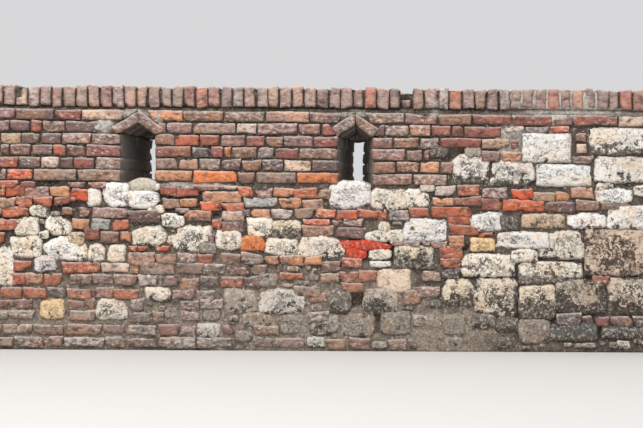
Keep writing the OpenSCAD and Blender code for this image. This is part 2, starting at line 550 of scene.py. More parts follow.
def stone_blank(columns, rows):
    """A block from -1 to 1 along and up, from 0 to 1 deep, cut into columns and rows."""
    if (columns, rows) not in stone_blanks:
        bm = bmesh.new()
        bmesh.ops.create_cube(bm, size=2)
        bmesh.ops.translate(bm, vec=(0, 1, 0), verts=bm.verts)
        bmesh.ops.scale(bm, vec=(1, 0.5, 1), verts=bm.verts)
        cut_grid(bm, 0, even_places(-1, 1, 2 / columns))
        cut_grid(bm, 2, even_places(-1, 1, 2 / rows))
        cut_grid(bm, 1, STONE_CUTS)
        stone_blanks[columns, rows] = finished_mesh(bm, "stone_blank", STONE)
    return stone_blanks[columns, rows]


# A corner of digit 9 is cut back by this share of the way to the stone's middle.
MOST_LOST = 0.42
# A stone whose most lost corner has this digit is broken back no nearer to its middle than this share.
NEAREST_BREAK = {"0": 0.97, "1": 0.97, "2": 0.94, "3": 0.90, "4": 0.86}
RAGGED_BREAK = 0.80
# The edge of a stone's face rolls in by ROLL of its size, but no more than MOST_ROLL, and its facets slope
# back no more than MOST_SLOPE.
ROLL, MOST_ROLL = 0.12, 13 * MM
MOST_SLOPE = 16 * MM
# It is uneven in three sizes: waves to the metre, and how far they move its outline and its face, in
# millimetres. The plainest stone has PLAIN_ shares of that, and the rest grows with how ragged a stone is.
STONE_WAVES = (9, 30, 66)
OUTLINE_GROWTH = 3
OUTLINE_BROAD, OUTLINE_KNOB, OUTLINE_GRIT = 12, 9, 5
FACE_BROAD, FACE_KNOB, FACE_GRIT = 9, 6, 4
PLAIN_OUTLINE, PLAIN_FACE = 0.4, 0.3
# The dust hides less of a stone's colour than of a brick's.
STONE_DUST = 0.45


def squareness(lost):
    """The exponent of a superellipse that has lost this share of its corner, from 0 to 9."""
    return 2 + 38 * (1 - MOST_LOST * lost / 9) ** 4


def lay_stone(face, kind, u, foot, width, height, corners, depth=STONE_DEPTH, push=0.0, node=None):
    """Lays one stone with the lower left corner of its outline at u and foot.

    Its outline is a superellipse, cut along straight breaks. A few facets slope its face back.
    """
    rng = stones_rng
    colour, lichen, pits, ragged = STONES[kind]
    tone = rng.gauss(1, 0.05)
    dusty = STONE_DUST * dust_at(face, u + width / 2, foot + height / 2)
    tint = [colour[i] * tone * (1 - dusty) + DUST[i] * dusty for i in range(3)] + [pits]
    lichen = min(1, max(0, lichen + rng.gauss(0, 0.06)))
    seed = rng.uniform(0, 60)
    shift = Vector((seed, -seed, seed * 1.3))
    columns = max(4, round(width / STONE_STEP))
    rows = max(3, round(height / STONE_STEP))
    powers = [squareness(int(digit)) for digit in corners]
    middle = Vector((u + width / 2, push, foot + height / 2))
    roll_in = min(ROLL * min(width, height), MOST_ROLL)
    slope = rng.gauss(0, 0.03)
    lean = rng.gauss(0, 0.03)
    breaks = []
    nearest = NEAREST_BREAK.get(max(corners), RAGGED_BREAK)
    for _ in range(5):
        angle = rng.uniform(0, 2 * math.pi)
        breaks.append((angle, rng.uniform(nearest, 1.08)))
    for digit, quarter in zip(corners, (3, 1, 7, 5)):
        angle = quarter * math.pi / 4 + rng.uniform(-0.4, 0.4)
        breaks.append((angle, 1 - MOST_LOST * (int(digit) / 9) ** 1.3))
    breaks = [
        (math.cos(angle), math.sin(angle), share * (abs(math.cos(angle)) + abs(math.sin(angle))))
        for angle, share in breaks
    ]
    facets = []
    for _ in range(3):
        angle = rng.uniform(0, 2 * math.pi)
        start = rng.uniform(0.1, 0.6) * min(width, height) / 2
        facets.append((math.cos(angle), math.sin(angle), start, rng.uniform(0.1, 0.32) * min(1, ragged)))

    def shape(point, normal):
        a, b = point.x, point.z
        reach = max(abs(a), abs(b))
        power = powers[(1 if a > 0 else 0) if b > 0 else (2 if a > 0 else 3)]
        if reach > 0:
            inside = 1 / (abs(a / reach) ** power + abs(b / reach) ** power) ** (1 / power)
            a, b = a * inside, b * inside
            kept = min([1.0] + [
                far * reach / (a * cos + b * sin) for cos, sin, far in breaks if a * cos + b * sin > 0
            ])
            a, b = a * kept, b * kept
        p = Vector((a * width / 2, point.y * depth, b * height / 2))
        broken = max([0.0] + [(p.x * cos + p.z * sin - start) * fall for cos, sin, start, fall in facets])
        p.y += (roll_in * reach ** 10 + min(broken, MOST_SLOPE)) * (1 - point.y)
        broad, knob, grit = (noise.noise(p * waves + shift) for waves in STONE_WAVES)
        outward = OUTLINE_GROWTH + broad * OUTLINE_BROAD + knob * OUTLINE_KNOB + grit * OUTLINE_GRIT
        outward = outward * MM * (PLAIN_OUTLINE + (1 - PLAIN_OUTLINE) * ragged)
        span = math.hypot(p.x, p.z) + 1e-6
        p.x += outward * reach * p.x / span
        p.z += outward * reach * p.z / span
        bulge = broad * FACE_BROAD + knob * FACE_KNOB + grit * FACE_GRIT * (0.5 + pits)
        p.y -= bulge * MM * (PLAIN_FACE + (1 - PLAIN_FACE) * ragged) * (1 - point.y)
        p.y += (slope * p.x + lean * p.z) * (1 - point.y)
        world = face.matrix @ (p + middle)
        world.z = max(world.z + drop_all, 1 * MM)
        return world, (tint, seed, lichen, point.z, reach)

    centre = face.matrix @ middle
    drop_all = sag(centre.x, centre.z)
    masonry[node or face.node_at(middle.x, middle.z)].add(stone_blank(columns, rows), shape)
    face.taken.append((u, u + width, foot, foot + height))


def lay_stones(face, layout):
    """Lays stones from lines of: kind, left, foot, width and height in millimetres, and the corner digits."""
    for line in layout.strip().splitlines():
        kind, *places, corners = line.split()
        left, foot, width, height = (int(place) * MM for place in places)
        lay_stone(
            face, kind, left - WORN_EDGE, foot - WORN_EDGE, width + 2 * WORN_EDGE, height + 2 * WORN_EDGE,
            corners
        )


# Mortar. Lime and coarse sand, weathered back from the brick faces by a finger's width. It is dark high up,
# greyer between the rubble, and beige where it was smeared over the face near the ground. Some deep joints
# are painted near black as shade.
GRID = 14 * MM
MORTAR_COLOURS = {
    "joint": linear("#5b524a"),
    "rubble": linear("#62584f"),
    "smear": linear("#968879"),
    "joint_shade": linear("#3b3531"),
    "lime": linear("#c0b9b0"),
    "bed": linear("#8f8576"),
}
# Deep joints whose mortar is painted near black as shade: middle x and z, and half widths.
SHADED_JOINTS = (
    (-1.45, 0.92, 0.48, 0.24),
    (-0.50, 1.00, 0.45, 0.10),
    (2.10, 0.42, 0.75, 0.28),
    (0.95, 0.72, 0.35, 0.10),
    (2.20, 0.13, 0.42, 0.09),
    (-1.00, 1.66, 1.00, 0.009),
    (0.60, 1.66, 0.75, 0.009),
    (1.60, 1.66, 0.25, 0.009),
)
# Cavities where a stone or its bedding is gone: left, foot, width, height and depth in millimetres.
CAVITIES = (
    (700, 306, 100, 90, 90),
    (877, 120, 46, 190, 80),
    (1385, 1340, 108, 62, 50),
    (1480, 690, 44, 44, 60),
    (-238, 905, 62, 30, 50),
    (1930, 1140, 50, 60, 45),
)


# How far the mortar lies behind the bricks, in millimetres: on the front, on the other sides of the wall, in
# the passages, and at least so far between the coping's bricks. Its surface is uneven by two noises of ROUGH
# millimetres, with so many waves to the metre. In the passages they are divided by PASSAGE_PART.
FRONT_RECESS, OTHER_RECESS, PASSAGE_RECESS, COPING_RECESS = 22, 17, 1.5, 7
ROUGH, ROUGH_BROAD, ROUGH_FINE = 5, 20, 45
PASSAGE_PART = 5
# Over a stretch from this height up, the joints get deeper and the smears thicker. Black joints are deeper
# still.
DEEP_FROM, DEEP_OVER = 0.45, 0.2
DEEPER, BLACK_DEEPER = 2, 9
SMEAR_THICK, SMEAR_THICKER = 6, 13
# From this far below the sills down, the mortar has the greyer colour of the rubble.
GREY_BELOW = 0.12


def mortar_recess(place, on_front):
    """How far the mortar lies behind the face."""
    rough = noise.noise(place * ROUGH_BROAD) * ROUGH + noise.noise(place * ROUGH_FINE) * ROUGH
    if not on_front:
        outer = abs(place.y) > BACK - MM or abs(place.x) > RIGHT - MM or place.z > cad_box[1].z - MM
        return (OTHER_RECESS + rough) * MM if outer else (PASSAGE_RECESS + rough / PASSAGE_PART) * MM
    deep = min(1, max(0, (place.z - DEEP_FROM) / DEEP_OVER))
    recess = FRONT_RECESS + DEEPER * deep - (SMEAR_THICK + SMEAR_THICKER * deep) * smear_at(place)
    recess = recess + BLACK_DEEPER * spread_of(place, SHADED_JOINTS) + rough
    for left, foot, width, height, depth in CAVITIES:
        if 0 < place.x / MM - left < width and 0 < place.z / MM - foot < height:
            recess = depth
    if place.z > COPING_FOOT:
        recess = max(recess, COPING_RECESS)
    return recess * MM


def mortar_tint(place, on_front):
    """The mortar's colour here."""
    smear = min(1, smear_at(place)) if on_front else 0
    # In the deep joints listed above, the mortar is painted near black as shade.
    joint_shade = spread_of(place, SHADED_JOINTS) if on_front else 0
    low = min(1, max(0, (SILL_BED - place.z) / GREY_BELOW))
    in_bed = HEAD_TOP - MM < place.z < COPING_FOOT + MM
    tint = []
    for joint, rubble, pale, deep, lime, bed in zip(*MORTAR_COLOURS.values()):
        part = bed if in_bed else joint * (1 - low) + rubble * low
        part = part * (1 - smear) + (lime * (1 - low) + pale * low) * smear
        tint.append(part * (1 - joint_shade) + deep * joint_shade)
    return tint


# A face whose normal has this much of an axis looks along it. The sides of a passage look along X, but also
# a little toward the front. The bed of the coping lies back from the face of the wall, by less than this.
ALONG, SPLAYED = 0.9, 0.05
BED_BACK = 20 * MM


def is_outside(face):
    """Whether a face of a solid shows: on the wall's faces, ends and top, or in the splayed passages."""
    centre, normal = face.calc_center_median(), face.normal
    if abs(normal.y) > ALONG:
        return centre.y < FRONT + BED_BACK or centre.y > BACK - BED_BACK
    if abs(normal.x) > ALONG:
        return centre.x < LEFT + MM or centre.x > RIGHT - MM or abs(normal.y) > SPLAYED
    return normal.z > ALONG and (centre.z > cad_box[1].z - MM or abs(centre.z - SILL_TOP) < MM)


# A fill is cut at every GRID along and up and at every DEPTH_GRID through the wall, but nowhere nearer to its
# own faces than CUT_MARGIN of a step. If it is stone, it has FILL_LICHEN.
DEPTH_GRID = 60 * MM
CUT_MARGIN = 0.2
FILL_LICHEN = 0.3


def fill_solid(name, material_index=MORTAR, tint=None, grid=GRID):
    """Fills a solid of the frame with mortar or stone, roughened and set back wherever it shows."""
    bm = bmesh.new()
    bm.from_mesh(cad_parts[name].data)
    bmesh.ops.remove_doubles(bm, verts=bm.verts, dist=1e-5)
    bmesh.ops.dissolve_limit(bm, angle_limit=0.01, verts=bm.verts, edges=bm.edges)
    low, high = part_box(name)
    for axis, step in ((0, grid), (2, grid), (1, DEPTH_GRID)):
        first = math.ceil(low[axis] / step + CUT_MARGIN)
        last = math.floor(high[axis] / step - CUT_MARGIN)
        cut_grid(bm, axis, [i * step for i in range(first, last + 1)])
    bm.normal_update()
    moves = {}
    for face in bm.faces:
        if is_outside(face):
            direction = tuple(round(part, 2) for part in face.normal)
            for vert in face.verts:
                moves.setdefault(vert, {})[direction] = face.normal.copy()
    traits = []
    for vert in bm.verts:
        outward = moves.get(vert, {})
        on_front = any(direction[1] < -ALONG for direction in outward)
        place = vert.co.copy()
        grime = PASSAGE_GRIME if any(ALONG < abs(direction[0]) < 1 for direction in outward) else 0.0
        traits.append((tint or mortar_tint(place, on_front), 0.0, FILL_LICHEN, 0.0, grime))
        for normal in outward.values():
            vert.co -= normal * mortar_recess(place, on_front)
        vert.co.z += sag(place.x, place.z)
    wall = masonry[name]
    wall.bm.from_mesh(finished_mesh(bm, "mortar", material_index))
    wall.traits.extend(traits)


def add_node(tree, kind, inputs=(), output=0, **settings):
    """Adds a node with its settings and what feeds it, and gives one of its outputs."""
    made = tree.nodes.new(kind)
    for name, value in settings.items():
        setattr(made, name, value)
    for name, value in dict(inputs).items():
        if isinstance(value, bpy.types.NodeSocket):
            tree.links.new(value, made.inputs[name])
        else:
            made.inputs[name].default_value = value
    return made.outputs[output] if made.outputs else None


def new_material(name):
    """An empty material, its tree, and a place in it that each brick's seed moves, so no two look alike."""
    material = bpy.data.materials.new(name)
    material.use_nodes = True
    tree = material.node_tree
    tree.nodes.clear()
    spot = add_node(tree, "ShaderNodeTexCoord", output="Object")
    seed = add_node(tree, "ShaderNodeAttribute", output="Fac", attribute_name="seed")
    place = add_node(tree, "ShaderNodeVectorMath", {0: spot, 1: seed}, operation="ADD")
    return material, tree, place


def stain(tree, body, colour, where, start, full, strength):
    """Stains a body with a colour, from where a value passes start to where it reaches full."""
    share = add_node(
        tree, "ShaderNodeMapRange", {"Value": where, "From Min": start, "From Max": full, "To Max": strength}
    )
    return add_node(tree, "ShaderNodeMix", {0: share, 6: body, 7: colour}, output=2, data_type="RGBA")


def matt_surface(tree, body, height, relief):
    """Ends a material in a dry matt surface, whose relief is this deep."""
    bump = add_node(tree, "ShaderNodeBump", {"Height": height, "Strength": 1.0, "Distance": relief})
    shader = add_node(
        tree, "ShaderNodeBsdfPrincipled",
        {"Base Color": body, "Roughness": 0.92, "Specular IOR Level": 0.25, "Normal": bump}
    )
    add_node(tree, "ShaderNodeOutputMaterial", {"Surface": shader})


# Hand-moulded brick: clay thrown in a sanded mould and clamp-fired, so the body is mottled with warmer,
# darker and paler lumps. Weather has left a bloom of lime on it and dirt in its hollows. A noise of scale
# 500 / n has blotches about n mm across.
def brick_material(name, dust):
    """A fired clay, under a film of pale dust that covers it by the share given."""
    material, tree, place = new_material(name)
    along = add_node(tree, "ShaderNodeMapping", {"Vector": place, "Scale": (1, 1, 1.8)})
    firing = add_node(tree, "ShaderNodeTexNoise", {"Vector": along, "Scale": 500 / 80, "Detail": 2.0})
    lumps = add_node(
        tree, "ShaderNodeTexNoise", {"Vector": along, "Scale": 500 / 34, "Detail": 4.0, "Roughness": 0.65}
    )
    grains = add_node(
        tree, "ShaderNodeTexNoise", {"Vector": along, "Scale": 500 / 15, "Detail": 4.0, "Roughness": 0.72}
    )
    grit = add_node(tree, "ShaderNodeTexNoise", {"Vector": place, "Scale": 500 / 5, "Detail": 2.0})
    tint = add_node(tree, "ShaderNodeAttribute", output="Color", attribute_name="tint")
    bloom = add_node(tree, "ShaderNodeAttribute", output="Fac", attribute_name="bloom")
    edge = add_node(tree, "ShaderNodeAttribute", output="Fac", attribute_name="edge")
    grime = add_node(tree, "ShaderNodeAttribute", output="Fac", attribute_name="grime")
    body = stain(tree, tint, linear("#b07a58"), firing, 0.50, 0.66, 0.5)
    body = stain(tree, body, linear("#6b5b5b"), firing, 0.46, 0.32, 0.5)
    body = stain(tree, body, linear("#4b3d38"), lumps, 0.50, 0.32, 0.85)
    body = stain(tree, body, linear("#2e2622"), grains, 0.47, 0.33, 0.85)
    bloomed = add_node(tree, "ShaderNodeMath", {0: bloom, 1: 0.16, 2: grains}, operation="MULTIPLY_ADD")
    body = stain(tree, body, linear("#ddd4ca"), bloomed, 0.60, 0.72, 0.65)
    body = stain(tree, body, linear("#c1aca2"), lumps, 0.25, 0.65, dust)
    # Along the upper edge a painted highlight over some pale dust, and along the other edges painted shade.
    body = stain(tree, body, linear("#eae1d8"), edge, 0.25, 1.0, 0.45)
    body = stain(tree, body, linear("#3a302a"), edge, -0.15, -0.6, 0.5)
    body = stain(tree, body, GRIME, grime, 0.0, 1.0, 1.0)
    height = add_node(tree, "ShaderNodeMath", {0: grit, 1: 0.4, 2: grains}, operation="MULTIPLY_ADD")
    matt_surface(tree, body, height, 4 * MM)
    return material


brick = brick_material("hand_moulded_brick", 0.08)
coping_brick = brick_material("weathered_coping_brick", 0.52)

# Limestone: pale and granular, stained ochre in patches, with a black crust of lichen that climbs from its
# foot, and worm-like pits where softer beds have weathered out.
stone, tree, place = new_material("weathered_limestone")
patches = add_node(tree, "ShaderNodeTexNoise", {"Vector": place, "Scale": 500 / 75, "Detail": 2.0})
lumps = add_node(
    tree, "ShaderNodeTexNoise", {"Vector": place, "Scale": 500 / 25, "Detail": 6.0, "Roughness": 0.72}
)
grains = add_node(
    tree, "ShaderNodeTexNoise", {"Vector": place, "Scale": 500 / 10, "Detail": 3.0, "Roughness": 0.7}
)
tint = add_node(tree, "ShaderNodeAttribute", output="Color", attribute_name="tint")
pitted = add_node(tree, "ShaderNodeAttribute", output="Alpha", attribute_name="tint")
lichen = add_node(tree, "ShaderNodeAttribute", output="Fac", attribute_name="bloom")
rise = add_node(tree, "ShaderNodeAttribute", output="Fac", attribute_name="edge")
ochre = add_node(
    tree, "ShaderNodeMix", {0: 1.0, 6: tint, 7: linear("#e6bf8f")}, output=2, data_type="RGBA",
    blend_type="MULTIPLY"
)
body = stain(tree, tint, ochre, patches, 0.50, 0.70, 0.5)
body = stain(tree, body, linear("#a29385"), lumps, 0.48, 0.30, 0.45)
fresh = add_node(
    tree, "ShaderNodeHueSaturation", {"Color": tint, "Saturation": 0.8, "Value": 1.3}, output="Color"
)
body = stain(tree, body, fresh, grains, 0.51, 0.62, 0.65)
hollow = add_node(tree, "ShaderNodeHueSaturation", {"Color": tint, "Value": 0.4}, output="Color")
body = stain(tree, body, hollow, grains, 0.45, 0.33, 0.7)
# Dark holes open where the lumps are lowest, more of them in a pitted stone and toward its foot.
holes = add_node(tree, "ShaderNodeMath", {0: pitted, 1: -0.085, 2: lumps}, operation="MULTIPLY_ADD")
holes = add_node(tree, "ShaderNodeMath", {0: rise, 1: 0.035, 2: holes}, operation="MULTIPLY_ADD")
body = stain(tree, body, linear("#443b34"), holes, 0.38, 0.355, 0.9)
# Cracks run mostly level, along the contour 0.5 of a noise that is stretched that way.
bedding = add_node(tree, "ShaderNodeMapping", {"Vector": place, "Scale": (0.6, 1, 1.5)})
cracked = add_node(
    tree, "ShaderNodeTexNoise", {"Vector": bedding, "Scale": 500 / 90, "Detail": 5.0, "Roughness": 0.6}
)
crack = add_node(tree, "ShaderNodeMath", {0: cracked, 1: 0.5}, operation="SUBTRACT")
crack = add_node(tree, "ShaderNodeMath", {0: crack}, operation="ABSOLUTE")
body = stain(tree, body, linear("#5f5348"), crack, 0.012, 0.003, 0.7)
# The last trait is the distance from the middle of a stone, 1 at its edge. Dirt and painted shade lie along
# the edge. A crust of lichen climbs from the foot, and on the most porous stones it has grown in from the
# edge as well.
from_middle = add_node(tree, "ShaderNodeAttribute", output="Fac", attribute_name="grime")
rim = add_node(tree, "ShaderNodeMapRange", {"Value": from_middle, "From Min": 0.78, "From Max": 1.0})
rim_dirt_and_shade = add_node(tree, "ShaderNodeMath", {0: lumps, 1: -1.0, 2: rim}, operation="MULTIPLY_ADD")
body = stain(tree, body, linear("#4a423b"), rim_dirt_and_shade, 0.15, 0.6, 0.6)
climb = add_node(tree, "ShaderNodeMath", {0: rise, 1: -0.36, 2: 0.66}, operation="MULTIPLY_ADD")
reach = add_node(tree, "ShaderNodeMath", {0: climb, 1: lichen}, operation="MULTIPLY")
porous = add_node(
    tree, "ShaderNodeMapRange", {"Value": pitted, "From Min": 0.8, "From Max": 1.0, "To Max": 0.4}
)
border = add_node(tree, "ShaderNodeMapRange", {"Value": from_middle, "From Min": 0.45, "From Max": 1.0})
reach = add_node(tree, "ShaderNodeMath", {0: border, 1: porous, 2: reach}, operation="MULTIPLY_ADD")
blotches = add_node(tree, "ShaderNodeMath", {0: patches, 1: 0.5, 2: lumps}, operation="MULTIPLY_ADD")
blotches = add_node(tree, "ShaderNodeMath", {0: blotches, 1: 0.25}, operation="SUBTRACT")
crust = add_node(tree, "ShaderNodeMath", {0: reach, 1: blotches}, operation="SUBTRACT")
body = stain(tree, body, linear("#48423c"), crust, -0.012, 0.012, 0.9)
specks = add_node(tree, "ShaderNodeMath", {0: lichen, 1: 0.2, 2: grains}, operation="MULTIPLY_ADD")
body = stain(tree, body, linear("#d8cdc0"), specks, 0.65, 0.74, 0.55)
# Where the stone is pitted, the pits wind between the ridges of a noise, around the value 0.5. They open in
# the soft beds, away from the edge.
winding = add_node(
    tree, "ShaderNodeTexNoise", {"Vector": place, "Scale": 500 / 17, "Detail": 2.0, "Distortion": 1.0}
)
from_ridge = add_node(tree, "ShaderNodeMath", {0: winding, 1: 0.5}, operation="SUBTRACT")
from_ridge = add_node(tree, "ShaderNodeMath", {0: from_ridge}, operation="ABSOLUTE")
pit = add_node(tree, "ShaderNodeMapRange", {"Value": from_ridge, "From Min": 0.065, "From Max": 0.025})
soft_bed = add_node(
    tree, "ShaderNodeMapRange", {"Value": patches, "From Min": 0.60, "From Max": 0.48, "To Max": 0.95}
)
pit = add_node(tree, "ShaderNodeMath", {0: pit, 1: soft_bed}, operation="MULTIPLY")
pit = add_node(tree, "ShaderNodeMath", {0: pit, 1: pitted}, operation="MULTIPLY")
pit = add_node(tree, "ShaderNodeMath", {0: pit, 1: border}, operation="SUBTRACT", use_clamp=True)
body = stain(tree, body, linear("#54483d"), pit, 0.0, 1.0, 1.0)
# Toward its foot a stone is darkened: painted shade where it meets the joint below, with some dirt.
body = stain(tree, body, linear("#4f463f"), rise, -0.75, -1.0, 0.5)
height = add_node(tree, "ShaderNodeMath", {0: lumps, 1: grains}, operation="ADD")
height = add_node(tree, "ShaderNodeMath", {0: pit, 1: -1.5, 2: height}, operation="MULTIPLY_ADD")
matt_surface(tree, body, height, 9 * MM)

# Lime mortar: coarse sand and lime, weathered until the sand stands out, pale lumps of lime among dark holes.
mortar, tree, place = new_material("weathered_lime_mortar")
patches = add_node(tree, "ShaderNodeTexNoise", {"Vector": place, "Scale": 500 / 130, "Detail": 3.0})
lumps = add_node(
    tree, "ShaderNodeTexNoise", {"Vector": place, "Scale": 500 / 24, "Detail": 5.0, "Roughness": 0.75}
)
sand = add_node(
    tree, "ShaderNodeTexNoise", {"Vector": place, "Scale": 500 / 9, "Detail": 3.0, "Roughness": 0.75}
)
tint = add_node(tree, "ShaderNodeAttribute", output="Color", attribute_name="tint")
grime = add_node(tree, "ShaderNodeAttribute", output="Fac", attribute_name="grime")
body = stain(tree, tint, linear("#5b5049"), patches, 0.52, 0.34, 0.5)
body = stain(tree, body, linear("#7f6a5c"), patches, 0.54, 0.68, 0.4)
# Where its lumps or its sand are low, in the hollows of its relief, the mortar is darkened.
darkened_tint = add_node(tree, "ShaderNodeHueSaturation", {"Color": tint, "Value": 0.42}, output="Color")
bare_sand = add_node(
    tree, "ShaderNodeHueSaturation", {"Color": tint, "Saturation": 0.7, "Value": 1.75}, output="Color"
)
body = stain(tree, body, darkened_tint, lumps, 0.49, 0.37, 0.9)
body = stain(tree, body, bare_sand, lumps, 0.55, 0.66, 0.6)
body = stain(tree, body, bare_sand, sand, 0.53, 0.66, 0.6)
body = stain(tree, body, linear("#d3c8bb"), sand, 0.60, 0.68, 0.6)
body = stain(tree, body, darkened_tint, sand, 0.46, 0.36, 0.6)
body = stain(tree, body, GRIME, grime, 0.0, 1.0, 1.0)
height = add_node(tree, "ShaderNodeMath", {0: lumps, 1: 1.4, 2: sand}, operation="MULTIPLY_ADD")
matt_surface(tree, body, height, 8 * MM)

# What the materials read at each point. On stones the alpha of tint says how pitted they are, bloom how much
# lichen they have, edge how high the point lies from -1 to 1, and grime how far from the middle of the face.
TRAITS = (
    ("tint", "FLOAT_COLOR"),
    ("seed", "FLOAT"),
    ("bloom", "FLOAT"),
    ("edge", "FLOAT"),
    ("grime", "FLOAT"),
)


def finish_solids(names):
    """Turns the masonry of some solids into pieces that ride on the wall and stand for those solids."""
    for name in names:
        mesh = bpy.data.meshes.new(f"{name}_masonry")
        masonry[name].bm.to_mesh(mesh)
        masonry[name].bm.free()
        for material in (mortar, coping_brick if "coping" in name else brick, stone):
            mesh.materials.append(material)
        for (trait, kind), values in zip(TRAITS, zip(*masonry[name].traits)):
            channel = mesh.attributes.new(trait, kind, "POINT").data
            if kind == "FLOAT_COLOR":
                channel.foreach_set("color", [part for colour in values for part in colour])
            else:
                channel.foreach_set("value", values)
        piece = bpy.data.objects.new(f"{name}_masonry", mesh)
        bpy.context.scene.collection.objects.link(piece)
        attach(piece, "root")
        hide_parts(name)


# The left of the lower wall as it shows: pale rubble set in dark mortar, with red brick over and under it.
lay_stones(front_face, """
cream    -1571  770  156 122  6125
ragged   -1362  780  165 122  1928
cream    -1408  748   62  56  5566
mottled  -1606  622  212 142  1516
white    -1382  596  240 170  8538
buff     -1217  712  112  74  5445
ragged   -1790  404  205 290  2433
lilac    -1428  526  136 104  5554
cream    -1081  598  116 122  6645
cream     -939  598  116 110  5434
ragged   -1158  600   74 108  4545
white    -1081  978   90 116  5544
white     -973  972  172 158  3147
cream    -1476  900  130  76  5635
cobble    -800 1085  190  88  8744
white     -808  960  210 124  2574
white     -633 1085   48  42  4444
cream     -673  928  110  56  6535
ragged    -578  840  158  82  2746
cream     -776  710  232 130  8631
ragged    -531  664  294 178  3178
cream     -204  687  178 136  1563
grey      -314  658  108  74  6445
yellow   -1402  206  164 130  2236
mottled  -1014  204  212 136  3434
mottled   -680  336  164  90  4433
grey      -544  222   82  66  4444
grey      -294  204  118  74  4545
""")
for foot, height, layout in (
    (1102, 42, "@-1790 r235 q105 @-1217 p122"),
    (1094, 42, "@-1075 q116"),
    (1029, 74, "@-1832 q125 r48 b132 m150 o132"),
    (1016, 68, "@-1204 s125"),
    (968, 62, "@-1910 r150 y175 r112 r120"),
    (984, 44, "@-1296 q130"),
    (898, 64, "@-1830 g165 b172"),
    (900, 62, "@-1130 n72 m240"),
    (868, 74, "@-797 p220"),
    (808, 72, "@-1850 n150 r132"),
    (820, 66, "@-1183 o120 l130 r122"),
    (752, 70, "@-1096 q95"),
    (736, 66, "@-993 n128 o68"),
    (670, 38, "@-797 r56 r68 @-626 b110"),
    (1050, 64, "@-578 r96 r150"),
    (1097, 28, "@-361 q195 c108"),
    (1012, 70, "@-294 o266"),
    (969, 62, "@-571 t116 o104"),
    (950, 56, "@-306 b143 r137"),
    (928, 30, "@-476 m82"),
    (882, 62, "@-422 o184 @-170 c150"),
    (828, 66, "@-226 r60"),
    (808, 68, "@-163 p143"),
    (728, 60, "@-262 m46"),
    (586, 70, "@-803 a190 t130 m128 r95 @-166 n130 g144"),
    (532, 58, "@-1585 r130"),
    (518, 68, "@-1240 r245 c190 o62 t224 n190"),
    (440, 68, "@-1646 r143 o110 r118 @-1190 n136 t145 m150 w122 @-558 m90"),
    (402, 76, "@-450 n136"),
    (348, 68, "@-1830 m145 r155 r157 k122 r156 q140 b170"),
    (340, 68, "@-497 m156 g120"),
    (274, 60, "@-1765 r150 q150"),
    (272, 58, "@-1210 q105"),
    (204, 60, "@-1790 g170 t165"),
    (200, 66, "@-1200 t178"),
):
    lay_row(front_face, foot, height, layout)

# The middle: long courses of half bricks and thin tiles, pale stones, and two splintered bright bricks.
lay_stones(front_face, """
orange     -41  674  163 102  5311
cream       -7  770  190 128  2216
crusted    183  758  184 128  1332
cream      122  642  225 122  1358
cream      353  632  336 148  1813
white      562  972  282 182  5465
cream      850  962  232 142  4254
honeycomb 1081  976  164 128  3653
cream      904  812   82  68  6666
mottled    802  750  272  76  7214
white     1074  752  300 156  4211
cream      836  628  150  68  3443
crusted   1013  568  266 156  2213
smooth     897  404  226 156  3237
speckled   802  260  238 164  4431
speckled  -143  252  224 170  3333
bleached    88  255  334 166  4522
dark       557  258  158 162  5252
grey       645  104  232 150  2112
speckled   440  112  196 130  2222
grey       245  116  186 124  2233
grey       925  118  198 156  3222
grey       -20  165  224  95  5555
grey        95  436  120  92  4444
scarlet    640  692  345  60  1951
scarlet    690  628  128  66  1255
cobble    1183 1106   98  36  3333
""")
for foot, height, layout in (
    (1042, 62, "@-48 b102 m110 o136 r148 y80"),
    (975, 66, "@-7 l218"),
    (966, 64, "@231 o150 a130"),
    (900, 62, "@-34 k60 o128 w140 t135 b136 b136 r142"),
    (856, 36, "@388 r183 m70 m130"),
    (780, 70, "@381 a218"),
    (768, 76, "@612 p198"),
    (898, 70, "@897 r66 g130"),
    (914, 60, "@1108 r143"),
    (1066, 72, "@1285 w143 r149"),
    (1000, 54, "@1271 o137 q177"),
    (924, 70, "@1258 b280"),
    (870, 52, "@1373 r150"),
    (797, 64, "@1387 r190"),
    (720, 68, "@1380 o102"),
    (716, 36, "@979 m95 g100 p60 m106"),
    (646, 70, "@1319 r163"),
    (578, 62, "@1333 r130"),
    (590, 54, "@129 o85 o165 o116"),
    (543, 70, "@517 p136"),
    (566, 64, "@660 r130"),
    (476, 70, "@639 q123 r118"),
    (462, 66, "@503 t130"),
    (488, 36, "@231 r156"),
    (396, 72, "@653 r150"),
    (372, 66, "@333 t170"),
    (485, 72, "@1203 n123"),
    (500, 70, "@1330 k125"),
    (378, 70, "@1150 m170"),
    (326, 84, "@1074 n120"),
    (520, 66, "@-290 k150 p150 k120"),
    (436, 66, "@-300 k120 r145 k110"),
    (330, 66, "@440 r110"),
    (196, 66, "@430 g140"),
    (180, 70, "@1140 g180"),
):
    lay_row(front_face, foot, height, layout)

# The right: large squared blocks, some of porous tufa, on a footing course of dark brick and stone.
lay_stones(front_face, """
white     1530  830  224 122  7227
yellow    1530  688  163  88  1212
white     2380 1028  252  95  3552
cream     2638 1086  150  66  4333
white     2461  851  310 150  1100
buff      1877  848  286  95  2411
dark      1738  828  112 104  3322
white     2189  850  260 102  6325
white     1700  712  360 108  3223
cream     1992  638  320 196  5422
ragged    1809  616  172  88  4443
tufa      2312  532  440 312  1111
mottled   1462  518  374 150  5222
mottled   1863  510  430 110  4422
dark      1863  468  320  52  2222
crusted   1340  305  218 190  6622
worm      1557  240  294 262  3225
crusted   1863  228  246 230  2223
sooty     2108  272  348 222  3222
worm      2464  258  310 254  2222
slate     2081   78  312 116  2222
slate     2427   98  300  82  2222
grey      1863   60  210 158  3333
dark      1707  140  150 100  4434
dark      1530  158  176 102  4434
grey      1345  118  145 140  2222
grey      1246  160   86  90  3333
grey      1360   26  120  72  4434
mottled   2387 1136  104  48  5454
""")
